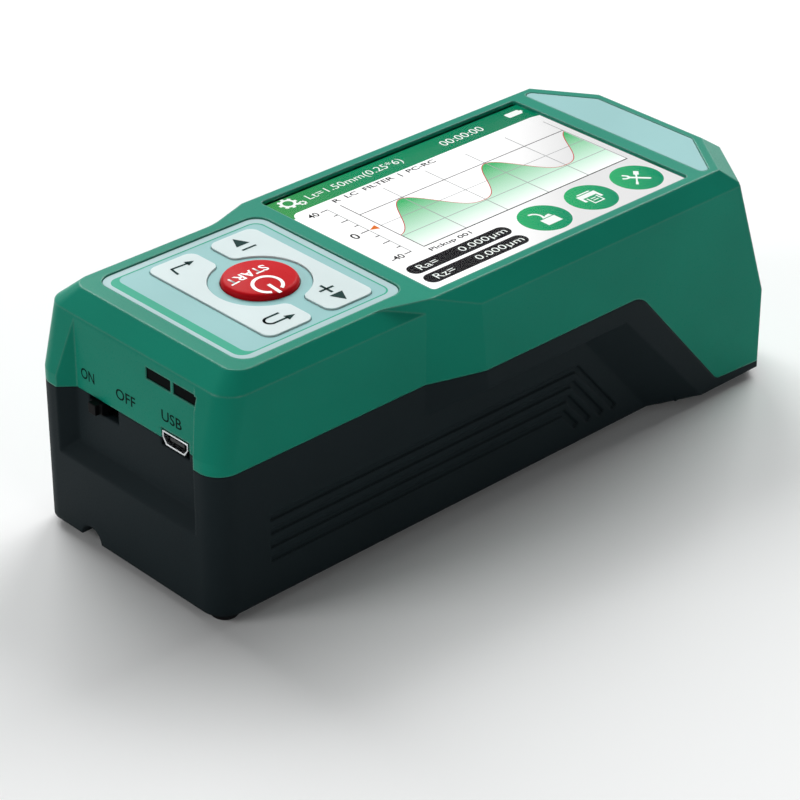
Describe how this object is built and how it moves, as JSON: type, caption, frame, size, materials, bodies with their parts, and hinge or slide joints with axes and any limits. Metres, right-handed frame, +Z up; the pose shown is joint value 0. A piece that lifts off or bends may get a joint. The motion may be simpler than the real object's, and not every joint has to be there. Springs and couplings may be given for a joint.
{
  "type": "surface roughness tester",
  "caption": "Handheld surface roughness tester: a two-part case with a colour screen and keypad, and a screw-driven skidded pickup that traverses in a bay under the nose.",
  "frame": {"origin": "under the middle of the case, on the surface that the feet stand on", "axes": "+X from the connector end to the nose, +Y to the left of someone who looks along +X, +Z up through the screen"},
  "size_m": [0.16, 0.0652, 0.0538],
  "materials": {
    "green_case": "semi-gloss moulded plastic",
    "black_case": "fine matt moulded plastic",
    "pale_panel": "printed film",
    "window": "clear",
    "display": "lit panel",
    "circuit_board": "solder mask",
    "battery": "shrink sleeve",
    "red_button": "gloss",
    "key_cap": "satin",
    "silicone": "matt",
    "steel": "turned",
    "polished_steel": "polished",
    "dark_lens": "gloss",
    "switch_plastic": "matt",
    "foot_rubber": "matt",
    "frame_alloy": "milled",
    "dark_alloy": "black anodised",
    "brass": "turned"
  },
  "bodies": {
    "housing": {"upper_housing": "green_case", "lower_housing": "black_case", "end_plate": "pale_panel", "screen_window": "window", "lcd_panel": "display", "main_board": "circuit_board", "battery_pack": "battery", "keypad_overlay": "pale_panel", "key_mat": "silicone", "keypad_board": "circuit_board", "board_screws": "steel", "indicator_lens": "dark_lens", "end_board": "circuit_board", "switch_body": "switch_plastic", "usb_shell": "steel", "usb_insulator": "switch_plastic", "case_screws": "steel", "feet": "foot_rubber", "drive_frame": "frame_alloy", "frame_screws": "steel", "drive_motor": "steel", "gearbox": "brass", "guide_rod": "steel", "tube_bush": "brass"},
    "button": {"start_button": "red_button"},
    "enter_rocker": {"enter_key": "key_cap"},
    "adjust_rocker": {"adjust_key": "key_cap"},
    "knob": {"switch_knob": "switch_plastic"},
    "screw": {"lead_screw": "steel", "shaft_coupling": "steel"},
    "carriage": {"drive_nut": "brass", "push_tube": "steel", "carriage_head": "dark_alloy", "pickup_body": "steel", "pickup_skid": "polished_steel"},
    "stylus": {"stylus_arm": "steel", "stylus_tip": "polished_steel"}
  },
  "joints": [
    {"name": "start_press", "type": "slide", "parent": "housing", "child": "button", "axis": [0, 0, -1], "range_m": [0, 0.0005], "stiffness_N_per_m": 4000},
    {"name": "enter_rock", "type": "hinge", "parent": "housing", "child": "enter_rocker", "pos_m": [-0.0527, 0, 0.05005], "axis": [1, 0, 0], "range_deg": [-1.5, 1.5], "stiffness_Nm_per_rad": 0.6},
    {"name": "adjust_rock", "type": "hinge", "parent": "housing", "child": "adjust_rocker", "pos_m": [-0.037, 0, 0.05005], "axis": [1, 0, 0], "range_deg": [-1.5, 1.5], "stiffness_Nm_per_rad": 0.6},
    {"name": "switch_slide", "type": "slide", "parent": "housing", "child": "knob", "axis": [0, -1, 0], "range_m": [0, 0.0034]},
    {"name": "traverse", "type": "slide", "parent": "housing", "child": "carriage", "axis": [-1, 0, 0], "range_m": [0, 0.0175]},
    {"name": "screw_turn", "type": "hinge", "parent": "housing", "child": "screw", "pos_m": [-0.025, 0, 0.014], "axis": [1, 0, 0], "range_deg": [-2, 2522]},
    {"name": "stylus_lift", "type": "hinge", "parent": "carriage", "child": "stylus", "pos_m": [0.056, 0, 0.0042], "axis": [0, -1, 0], "range_deg": [0, 1.5], "stiffness_Nm_per_rad": 0.006}
  ],
  "couplings": [
    {"joint": "screw_turn", "follows": "traverse", "rad_per_m": 2513.3}
  ]
}
